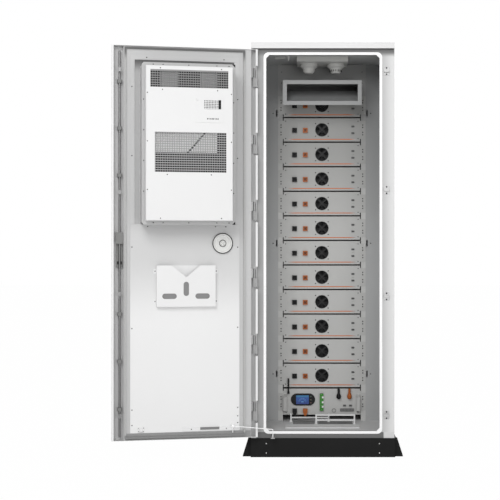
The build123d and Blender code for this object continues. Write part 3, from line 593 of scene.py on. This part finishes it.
bm = bmesh.new()
back = plate_front + 29.4 * mm
liner = [(0, plate_front - 0.3 * mm), (1.5 * mm, plate_front - 0.3 * mm), (1.5 * mm, back), (0, back)]
for z in heights:
    spin_ring(bm, 34.3 * mm, liner, 32, Vector((0, 0, z)))
    made = bmesh.ops.create_cone(bm, cap_ends=True, segments=32, radius1=35 * mm, radius2=35 * mm,
                                 depth=2 * mm)["verts"]
    bmesh.ops.rotate(bm, matrix=Matrix.Rotation(math.radians(90), 3, "X"), verts=made)
    bmesh.ops.translate(bm, vec=(0, back + 1 * mm, z), verts=made)
bmesh.ops.remove_doubles(bm, verts=bm.verts, dist=1e-6)
make("fan_housings", bm, finishes["fan_plastic"])

bm = bmesh.new()
y, wire_radius = guard_front + 1.0 * mm, 0.8 * mm
wire = [(0, y - wire_radius), (wire_radius, y), (0, y + wire_radius), (-wire_radius, y)]
for z in heights:
    for radius in (11, 19, 27, 34.5):
        spin_ring(bm, radius * mm, wire, 24, Vector((0, 0, z)))
bmesh.ops.remove_doubles(bm, verts=bm.verts, dist=1e-6)
make("fan_guard_rings", bm, plated_steel("guard_wire", "343536", 0.5), smooth=True)

places = [Vector((x * mm, plate_front, z + dz * mm)) for z in heights for x in (-36, 36) for dz in (-36, 36)]
screws("fan_screws", places, 3.4 * mm)

# %% [markdown]
# ## Rack screws and front plate screws
# Four black screws a side hold each module's ears to the rack posts, in two pairs. Smaller ones close the
# corners of each front plate.

# %% Screws of the modules
control_low, control_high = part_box("control_box")
control_middle = (control_low.z + control_high.z) / 2
ear_places = [Vector((side * 233.5 * mm, plate_front, z + dz * mm))
              for z in heights + [control_middle] for side in (-1, 1) for dz in (-28, -14, 14, 28)]
screws("ear_screws", ear_places, 3.6 * mm)
corner_places = [Vector((side * 207 * mm, plate_front, z + dz * mm))
                 for z in heights for side in (-1, 1) for dz in (-50, 50)]
screws("plate_screws", corner_places, 3.0 * mm)

# %% [markdown]
# ## The accent line
# A thin printed line in muted orange runs under each module's sockets and fades out at both ends. The
# fade is worked out from X, so it stays on the module from every side.

# %% Accent lines
def accent_finish():
    """Orange print that fades into the grey coat at both ends."""
    material, place = new_material("accent_print")
    across = add(material, "SeparateXYZ", {"Vector": place}).outputs["X"]
    out = add(material, "Math", {0: across}, operation="ABSOLUTE").outputs[0]
    fine = add(material, "TexNoise", {"Vector": place, "Scale": 900.0}).outputs["Fac"]
    layers = {0: fine, 6: linear("C0602A"), 7: linear("CC6E36")}
    ink = add(material, "Mix", layers, **colours).outputs[2]
    faded = add(material, "MapRange", {"Value": out, "From Min": 0.15, "From Max": 0.2}, **soft)
    layers = {0: faded.outputs[0], 6: ink, 7: linear("ABABA9")}
    colour = add(material, "Mix", layers, **colours).outputs[2]
    return close(material, Base_Color=colour, Roughness=0.55)


cabinet_blocks("accent_lines", accent_finish(), [
    ((-193 * mm, 192 * mm), (plate_front - 0.25 * mm, plate_front + 0.1 * mm), (z - 56.4 * mm, z - 51.6 * mm))
    for z in heights])

# %% [markdown]
# ## Sockets and signal ports
# The square power sockets are hollow: crossed contact ribs sit inside them. The two data ports on the
# right have a row of four tiny status lights between them. Their flanges don't show yet: a new face has
# no normal until it is updated, so its inset gets no width.

# %% Contacts, flanges and lights
def crossed_ribs(name, x, finish):
    """Two diagonal ribs inside every socket of one column."""
    bm = bmesh.new()
    for z in heights:
        for turn in (45, -45):
            first = len(bm.verts)
            block(bm, (-9 * mm, plate_front - 10 * mm, -1.6 * mm), (9 * mm, plate_front - 3.5 * mm, 1.6 * mm),
                  0.4 * mm)
            bm.verts.ensure_lookup_table()
            matrix = Matrix.Translation((x, 0, z - 3 * mm)) @ Matrix.Rotation(math.radians(turn), 4, "Y")
            bmesh.ops.transform(bm, matrix=matrix, verts=bm.verts[first:])
    make(name, bm, finish)


crossed_ribs("socket_contacts_black", -156 * mm, finishes["black_plastic"])
crossed_ribs("socket_contacts_orange", -95 * mm, moulded("dark_orange_plastic", "5E2A10"))

nickel = plated_steel("port_shells", "A6A6A4", 0.35)
flange = [(-15, 8), (15, 8), (11, -8), (-11, -8)]
bm = bmesh.new()
for z in heights:
    for dz in (-19, 19):
        corners = [((178 + px) * mm, plate_front - 1.0 * mm, z + (dz + pz) * mm) for px, pz in flange]
        face = bm.faces.new([bm.verts.new(corner) for corner in corners])
        bmesh.ops.inset_region(bm, faces=[face], thickness=3.2 * mm, use_boundary=True)
        bmesh.ops.delete(bm, geom=[face], context="FACES_ONLY")
bmesh.ops.solidify(bm, geom=bm.faces[:], thickness=0.9 * mm)
make("port_flanges", bm, finishes["lock_plastic"])


def lamp_lens(name, card, glow):
    """A small moulded lens that glows a little."""
    material, place = new_material(name)
    fine = add(material, "TexNoise", {"Vector": place, "Scale": 1500.0}).outputs["Fac"]
    layers = {0: fine, 6: linear(card), 7: linear(card, 0.85)}
    colour = add(material, "Mix", layers, **colours).outputs[2]
    return close(material, Base_Color=colour, Roughness=0.25, Emission_Color=colour, Emission_Strength=glow)


def lenses(name, places, radius, finish):
    """Low domes for status lights, all facing forward."""
    bm = bmesh.new()
    for place in places:
        back, tip = place + Vector((0, 0.2 * mm, 0)), place - Vector((0, 1.0 * mm, 0))
        rod_along(bm, back, tip, radius, sides=10, tip=radius * 0.6)
    make(name, bm, finish)


status = [Vector(((172 + 4 * k) * mm, plate_front, z)) for z in heights for k in range(4)]
lenses("status_lights", status, 1.1 * mm, lamp_lens("status_light_lens", "6F7F73", 0.1))

# %% [markdown]
# ## The control box
# The lowest rack unit has a blue display in a round-ended black bezel, a green terminal block, and more
# sockets. The display's picture is a lighter bar at its top and a curved gauge, with no words.

# %% The display
def display_glass():
    """A lit blue display: a pale bar at its top and a slightly darker lower half."""
    material, place = new_material("display_glass")
    z = add(material, "SeparateXYZ", {"Vector": place}).outputs["Z"]
    dots = add(material, "TexNoise", {"Vector": place, "Scale": 300.0}).outputs["Fac"]
    colour = linear("1A3478")
    for value, low, high, card in ((z, 0.228, 0.262, "1E4C92"), (dots, 0.5, 0.9, "2458A4"),
                                   (z, 0.2675, 0.2685, "2C6E9C")):
        share = add(material, "MapRange", {"Value": value, "From Min": low, "From Max": high}, **soft)
        layers = {0: share.outputs[0], 6: colour, 7: linear(card)}
        colour = add(material, "Mix", layers, **colours).outputs[2]
    return close(material, Base_Color=colour, Roughness=0.2, Emission_Color=colour, Emission_Strength=0.1)


screen_x, screen_z = (-148 * mm, -74 * mm), (228 * mm, 279 * mm)
screen_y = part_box("display_bezel")[0].y + 2 * mm
margin = 0.4 * mm
cabinet_blocks("display_pane", display_glass(), [
    ((screen_x[0] + margin, screen_x[1] - margin), (screen_y - 0.7 * mm, screen_y + 0.2 * mm),
     (screen_z[0] + margin, screen_z[1] - margin))], 0.3 * mm)

gauge_ink = lamp_lens("display_ink", "5E92C8", 0.1)
bm = bmesh.new()
centre = Vector((sum(screen_x) / 2, 0, screen_z[0] + 14 * mm))
for radius, width in ((19, 1.6), (13, 1.0)):
    start = [bm.verts.new((centre.x + r * mm, screen_y - 0.8 * mm, centre.z))
             for r in (radius, radius + width)]
    edge = bm.edges.new(start)
    bmesh.ops.spin(bm, geom=start + [edge], cent=centre, axis=(0, -1, 0), angle=math.pi, steps=16)
block(bm, (centre.x - 7 * mm, screen_y - 0.9 * mm, centre.z - 3 * mm),
      (centre.x + 7 * mm, screen_y - 0.7 * mm, centre.z + 2 * mm))
make("display_gauge", bm, gauge_ink)

for number, card in ((1, "C05A2A"), (2, "A88A30"), (3, "3E8A4A")):
    low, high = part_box(f"display_button_{number}")
    bm = bmesh.new()
    middle = (low + high) / 2
    back, tip = [Vector((middle.x, low.y + step * mm, middle.z)) for step in (0.2, -0.3)]
    rod_along(bm, back, tip, 1.8 * mm, tip=1.4 * mm)
    print_finish = lamp_lens(f"button_mark_{number}_print", card, 0.05)
    make(f"button_mark_{number}", bm, print_finish, f"button_{number}")

# %% [markdown]
# The terminal block is a row of green housings with a screw each, and white cable ends show at its right.

# %% The terminal block
terminal_foot, terminal_pitch, terminals = 192, 12.25, 8
block_front = plate_front - 16.4 * mm
feet = [(terminal_foot + terminal_pitch * k) * mm for k in range(terminals)]
cabinet_blocks("terminal_block", moulded("green_terminal_plastic", "2C8A14"), [
    ((-12 * mm, 8.4 * mm), (block_front, plate_front + 0.1 * mm), (z, z + 11.7 * mm))
    for z in feet], 0.8 * mm)
bm = bmesh.new()
for z in (0.215, 0.2405, 0.268):
    start, end = [Vector((5 * mm, y, z)) for y in (plate_front + 0.1 * mm, block_front - 1.0 * mm)]
    rod_along(bm, start, end, 6.8 * mm, tip=5.8 * mm)
make("terminal_cable_ends", bm, moulded("white_plastic", "ECECEC"))
screws("terminal_screws", [Vector((-4 * mm, block_front, z + 6 * mm)) for z in feet], 2.4 * mm, nickel)

# %% [markdown]
# The other fittings on the control box are a row of switches under the ports and a fuse holder's ring.

# %% Switch row and fuse holder
switch_front = plate_front - 8 * mm
cabinet_blocks("switch_row", moulded("grey_switch_plastic", "8C8D8C"), [
    ((x * mm, (x + 5) * mm), (switch_front - 1.4 * mm, switch_front + 0.1 * mm), (191 * mm, 200 * mm))
    for x in [109 + 8.1 * k for k in range(9)]], 0.5 * mm)
bm = bmesh.new()
fuse = Vector((69 * mm, 0, 191.5 * mm))
ring = [(0, plate_front + 0.1 * mm), (3 * mm, plate_front + 0.1 * mm), (2.2 * mm, plate_front - 3 * mm),
        (0, plate_front - 3 * mm)]
spin_ring(bm, 9 * mm, ring, 24, fuse)
bmesh.ops.remove_doubles(bm, verts=bm.verts, dist=1e-6)
make("fuse_holder_ring", bm, finishes["lock_plastic"], smooth=True)

# %% [markdown]
# ## The conditioner's grilles
# The conditioner's cover is perforated with square holes. The CAD cover has the rows as long slots, so
# upright strips of the same sheet, set just behind its face, cut those slots into squares. They are a darker
# grey than the cover: painted shade round the holes.

# %% Grille strips
grilles = (((182, 576), (1935, 2023)), ((192, 554), (1505, 1707)))
pitch, web = 12.0, 2.6
cover_face = -187.0
strips = []
for (u_low, u_high), (z_low, z_high) in grilles:
    for k in range(1, int((u_high - u_low) / pitch) + 1):
        u = u_low + pitch * k - web
        strips.append(((u, u + web), (cover_face + 0.15, cover_face + 1.8), (z_low - 1, z_high + 1)))
door_blocks("grille_strips", moulded("shaded_grille_sheet", "929292", grain=1 * mm), strips)

# %% [markdown]
# Behind the return grille lies a pale insulation board with a slanted joint. The lower part and the edge
# near the hinge are open and dark. Behind the outlet grille, two light fan frames stand before the dark
# case.

# %% Behind the grilles
dark_coat = moulded("dark_inner_case", "141415", grain=1 * mm, roughness=0.8)
bm = bmesh.new()
deep = on_door(0, -168, 0).y
for points in (((236, 1606), (379, 1606), (288, 1712), (236, 1712)),
               ((391, 1606), (558, 1606), (558, 1712), (300, 1712))):
    thicken(bm, [door_face(bm, points, deep)], -6 * mm)
board_coat = moulded("pale_insulation_board", "F2F2F2", grain=2 * mm, roughness=0.9, depth=0.2 * mm)
make("insulation_board", bm, board_coat, "door")
case_n = (-150, -146.5)
door_blocks("inner_case_panels", dark_coat, [((176, 582), case_n, (1925, 2035)),
                                             ((186, 560), case_n, (1495, 1717))], 1)
bars = []
for u in (278, 480):
    bars += [((u - 40, u + 40), (-165, -162), (z, z + 3)) for z in range(1946, 2007, 12)]
    bars += [((u + side - 3, u + side + 3), (-166, -156), (1941, 2017)) for side in (-41, 41)]
door_blocks("fan_frame_bars", moulded("light_fan_frame", "8E8E8E"), bars, 0.5)

# %% [markdown]
# The access plate's raised window is perforated too. Its mesh is drawn as a lattice over a grey board,
# with a dark end near the hinge, and a short row of vents below it.

# %% The access window
window_low, window_high, dark_u, foot, top, window_n = 218, 306, 234, 1826, 1874, -193.0
board_n = (window_n - 0.4, window_n + 0.2)
board_z = (foot + 1, top - 1)
board = ((dark_u, window_high - 1), board_n, board_z)
door_blocks("window_board", moulded("window_board", "3E3E3E"), [board])
vent_n = (-190.0, -189.4)
vents = [((u, u + 4.6), vent_n, (1774, 1781)) for u in [232 + 7.6 * k for k in range(8)]]
door_blocks("window_dark_end", dark_coat, [((window_low + 1, dark_u), board_n, board_z)] + vents)
upright = [((u, u + 3), (window_n - 1.0, window_n - 0.3), (foot, top))
           for u in range(dark_u, dark_u + 72, 8)]
level = [((dark_u - 2, window_high), (window_n - 0.95, window_n - 0.3), (z, z + 3))
         for z in [foot + 2 + 8.6 * k for k in range(6)]]
door_blocks("window_mesh", finishes["lining_paint"], upright + level)

# %% [markdown]
# The conditioner sits in a folded rim whose mitred corners leave small dark gaps at the side near the
# hinge. Small triangles of black foam fill them.

# %% Rim corners and mitres
bm = bmesh.new()
rim_u, rim_z = (140, 617), (1239, 2065)
rim_y = on_door(0, -144, 0).y + 0.4 * mm
for z, side in ((rim_z[0], 1), (rim_z[1], -1)):
    for u, way, reach in ((rim_u[0], 1, 16), (rim_u[1], -1, 8)):
        corner = [(u, z), (u + way * reach, z), (u, z + side * reach)]
        thicken(bm, [door_face(bm, corner, rim_y)], -0.6 * mm)
make("rim_corner_foam", bm, dark_coat, "door")

# %% [markdown]
# ## Screws on the door
# The sheets on the inside of the door are held by rows of small dark screws. Their places are measured
# from the hinge edge and the floor.

# %% Door screws
def door_screws(name, n, places, radius=3.2 * mm, height=1.5 * mm):
    """Screws at (u, z) places on a face of the door that lies at n."""
    head = screw_head(radius, height)
    bm = bmesh.new()
    for u, z in places:
        stamp(bm, head, Matrix.Translation(on_door(u, n, z)) @ Matrix.Rotation(math.pi, 4, "Z"))
    bpy.data.meshes.remove(head)
    make(name, bm, black_screw, "door")


lining = [(u, z) for u in (107, 661) for z in (196, 276, 700, 1124)] + [(107, 232)]
lining += [(u, 1232) for u in (170, 225, 580)] + [(107, z) for z in (1594, 1905)]
lining += [(661, z) for z in (1600, 1960)] + [(u, 2113) for u in (180, 585)]
door_screws("lining_screws", 8, lining)
rim = [(u, z) for u in (172, 235, 379, 510, 560) for z in (1248, 2055)]
rim += [(608, z) for z in (1408, 1564, 1720, 1876)] + [(148, z) for z in (1400, 1556, 1712, 1868)]
door_screws("rim_screws", -144, rim, 3.0 * mm)
cover = [(u, z) for u in (216, 526) for z in (1270, 2031)]
cover += [(u, z) for u in (165, 592) for z in (1415, 1660, 1905)]
cover += [(236, 1922), (516, 1922), (268, 1492), (492, 1492)]
door_screws("cover_screws", cover_face, cover, 3.0 * mm, height=0.5 * mm)
door_screws("pocket_screws", 6.5, [(u, z) for u in (221, 542) for z in (840, 998)], 3 * mm)
door_screws("bracket_screws", 2, [(168, 168), (352, 168)], 3 * mm)
door_screws("bumper_screws", 5, [(u, z) for u in (601.5, 627.5) for z in (163, 181)], 2.2 * mm)

# %% [markdown]
# ## The pressure relief valve
# A round valve lets gas out of the closed cabinet. It has a dark ring in its groove and a lobed hub with
# bright steel clips.

# %% The relief valve's ring and hub
valve = on_door(187.5, 8, 1144)
ring_y = valve.y + 9 * mm
bm = bmesh.new()
for inside, outside, y in ((49.8, 54.6, valve.y + 8.4 * mm), (15.5, 18.6, ring_y)):
    width, back = (outside - inside) * mm, y + 0.8 * mm
    profile = [(0, y), (0, back), (width, back), (width, y)]
    spin_ring(bm, inside * mm, profile, 40, Vector((valve.x, 0, valve.z)))
bmesh.ops.remove_doubles(bm, verts=bm.verts, dist=1e-6)
make("valve_gaskets", bm, dark_coat, "door")
bm = bmesh.new()
for quarter in range(4):
    turn = math.radians(45 + 90 * quarter)
    out = 10 * mm * Vector((math.cos(turn), 0, math.sin(turn)))
    point = Vector((valve.x, ring_y - 0.1 * mm, valve.z)) + out
    rod_along(bm, point, point + Vector((0, 3 * mm, 0)), 4.2 * mm, tip=3.2 * mm)
make("valve_clips", bm, nickel, "door")

# %% [markdown]
# ## The lock's inner cover
# The lock's case on the door's free edge has a thin pin at its foot and a dark grip. The white folded edge
# that should outline it has no width yet, for the same reason as the ports' flanges.

# %% Lock cover
bm = bmesh.new()
points = ((713, 1146), (735, 1146), (735, 1112), (742, 1098), (742, 1032), (727, 1014), (721, 1014),
          (706, 1032), (706, 1098), (713, 1112))
face = door_face(bm, points, on_door(0, 33.9, 0).y)
bmesh.ops.inset_region(bm, faces=[face], thickness=4.0 * mm, use_boundary=True)
bmesh.ops.delete(bm, geom=[face], context="FACES_ONLY")
thicken(bm, bm.faces[:], 2.5 * mm)
block(bm, on_door(722.4, 36, 974), on_door(725.6, 33, 1016))
make("lock_cover_edge", bm, finishes["lining_paint"], "door")
door_blocks("lock_cover_grip", dark_coat, [((711, 737), (32.6, 34.2), (1034, 1050))], 0.4)

# %% [markdown]
# ## Ceiling lamp and detector vents
# A small service lamp with its door switch sits at the left of the ceiling. One of the two fire detectors
# has a ring of dark vents.

# %% Ceiling lamp and detector vents
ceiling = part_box("fire_detectors")[1].z
lamp = ((-0.264, -0.204), (-0.30, -0.27), (ceiling - 12 * mm, ceiling + 0.2 * mm))
cabinet_blocks("service_lamp", moulded("lamp_cover_plastic", "A9A9A7"), [lamp], 3 * mm)
bm = bmesh.new()
neck, shoulder, end = [Vector((-0.187, -0.33, ceiling + drop * mm)) for drop in (0.1, -20, -28)]
rod_along(bm, neck, shoulder, 7 * mm, tip=5 * mm)
rod_along(bm, shoulder, end, 3 * mm)
make("lamp_switch", bm, finishes["detector_plastic"])

bm = bmesh.new()
detector = Vector((75 * mm, front + 250 * mm, ceiling - 60 * mm))
for k in range(16):
    turn = math.radians(22.5 * k)
    middle = detector + 32.3 * mm * Vector((math.cos(turn), math.sin(turn), 0))
    rod_along(bm, middle, middle - Vector((0, 0, 10 * mm)), 2.6 * mm, sides=6)
make("detector_slots", bm, dark_coat)

# %% [markdown]
# ## The air duct
# The duct is a sheet hopper. Its mouth is a flat rim, and its floor slopes up to a low throat at the
# rack, so that air from the conditioner on the door is led over the modules. It stands for the plainer
# duct of the CAD model. A blank panel closes the rack above it.

# %% Duct and blank panel
duct_low, duct_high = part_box("air_duct")
duct_half, rim, mouth, throat = 219 * mm, 22 * mm, duct_low.y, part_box("rack_frame_left")[0].y
low, high = duct_low.z, duct_high.z
bm = bmesh.new()
loops = []
for y, reach, z_low, z_high in ((mouth, duct_half - rim, low + rim, high - rim),
                                (mouth, duct_half, low, high),
                                (throat, duct_half, high - 34 * mm, high - 1 * mm)):
    corners = ((-reach, z_low), (reach, z_low), (reach, z_high), (-reach, z_high))
    loops.append([bm.verts.new((x, y, z)) for x, z in corners])
for first, second in zip(loops, loops[1:]):
    for k in range(4):
        bm.faces.new((first[k], first[(k + 1) % 4], second[(k + 1) % 4], second[k]))
bmesh.ops.recalc_face_normals(bm, faces=bm.faces)
bmesh.ops.solidify(bm, geom=bm.faces[:], thickness=1.5 * mm)
duct = make("air_duct_sheet", bm, finishes["duct_paint"])
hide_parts("air_duct")
panel = ((-0.249, 0.249), (throat - 0.4 * mm, throat + 1.6 * mm), (high + 3 * mm, 2.168))
cabinet_blocks("rack_blank_panel", finishes["rack_paint"], [panel], 0.4 * mm)
places = [Vector((x, throat - 0.4 * mm, z)) for x in (-0.23, 0.23) for z in (2.064, 2.127)]
screws("blank_panel_screws", places, 2.6 * mm)

# %% [markdown]
# ## Rack details
# Each module's ears are notched at the joint between two modules, which shows as a short black tick. Small
# plates cover the slots of the side fillers, and small screws hold the fillers.

# %% Notches, slot covers and filler screws
joints = [(a + b) / 2 for a, b in zip(heights, heights[1:])] + [heights[0] - (heights[1] - heights[0]) / 2]
notch_y = (plate_front - 0.5 * mm, plate_front + 0.3 * mm)
cabinet_blocks("ear_notches", dark_coat, [
    ((x - 2.4 * mm, x + 2.4 * mm), notch_y, (z - 18 * mm, z + 18 * mm))
    for z in joints for x in (-0.2205, 0.2205)])
filler_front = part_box("rack_frame_left")[0].y
cabinet_blocks("slot_covers", finishes["rack_paint"], [
    ((x - 5 * mm, x + 5 * mm), (filler_front - 0.5 * mm, filler_front + 0.1 * mm), (z - 16 * mm, z + 16 * mm))
    for z in [0.29 + 0.2615 * step for step in range(6)] for x in (-0.2965, 0.2965)], 0.2 * mm)
places = [Vector((x, filler_front, z)) for x in (-0.279, 0.279) for z in (0.4, 1.147, 1.89)]
screws("filler_screws", places, 3.4 * mm)

# %% [markdown]
# ## Shaded sheets on the door
# The bed of the recess round the conditioner, the inside of the pocket behind its slots and the channel of
# the bracket at the door's foot lie deep, so they are darker sheets. The recess has a pale folded edge
# near the hinge.

# %% Recess, pocket and bracket sheets
bed_n, recess_z = (13.0, 13.6), (1246, 2100)
door_blocks("recess_bed", finishes["recess_paint"], [
    ((119, 139), bed_n, recess_z), ((618, 646), bed_n, recess_z), ((139, 618), bed_n, (2066, 2100))])
door_blocks("recess_hinge_edge", finishes["sheet_paint"], [
    ((117, 121), (7.2, 12.9), recess_z), ((121, 126), (7.2, 8.2), recess_z)])
door_blocks("pocket_back", moulded("shaded_pocket_sheet", "828282"), [((245, 520), (-21, -19.5), (836, 950))])
door_blocks("bracket_channel", moulded("shaded_bracket_channel", "7C7C7C"),
            [((205, 306), (0.4, 1.7), (165, 178))], 0.3)

# %% [markdown]
# Cables come in through two brush-filled openings in the floor, one behind each tie bracket. Round feet
# carry the brackets.

# %% Cable entries
floor_top = 134 * mm
brush_z = (floor_top - 0.2 * mm, floor_top + 0.8 * mm)
cabinet_blocks("cable_entry_brushes", foam_rubber("entry_brush", "8A8A8A"), [
    ((-0.164, -0.042), (-0.177, -0.048), brush_z), ((-0.022, 0.17), (-0.18, -0.062), brush_z)], 0.3 * mm)
bm = bmesh.new()
for x, y in ((-0.176, -0.079), (0.0375, -0.079), (-0.034, -0.188), (0.1795, -0.188)):
    rod_along(bm, Vector((x, y, floor_top)), Vector((x, y, floor_top + 7 * mm)), 9 * mm, tip=7 * mm)
make("bracket_feet", bm, finishes["lining_paint"])

# %% [markdown]
# ## Bolts and strike screws
# Four bright bolts hold the plinth's front sheet. Each strike is held by two flat black screws, which stay
# clear of the rods' tabs.

# %% Plinth bolts and strike screws
places = [Vector((x, front - 4 * mm, z)) for x in (-0.3025, 0.3025) for z in (0.023, 0.073)]
screws("plinth_bolts", places, 3.6 * mm, plated_steel("bright_bolts", "F0F0F0", 0.35))
strike_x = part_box("strikes")[1].x - 14 * mm
places = [Vector((strike_x, frame_low.y - 1.0 * mm, (z + dz) * mm))
          for z in (225.4, 860.5, 1429.8, 2066.5) for dz in (-17, 17)]
screws("strike_screws", places, 4.6 * mm, height=0.5 * mm)

# %% [markdown]
# ## Before finishing

# %% Finish
import json
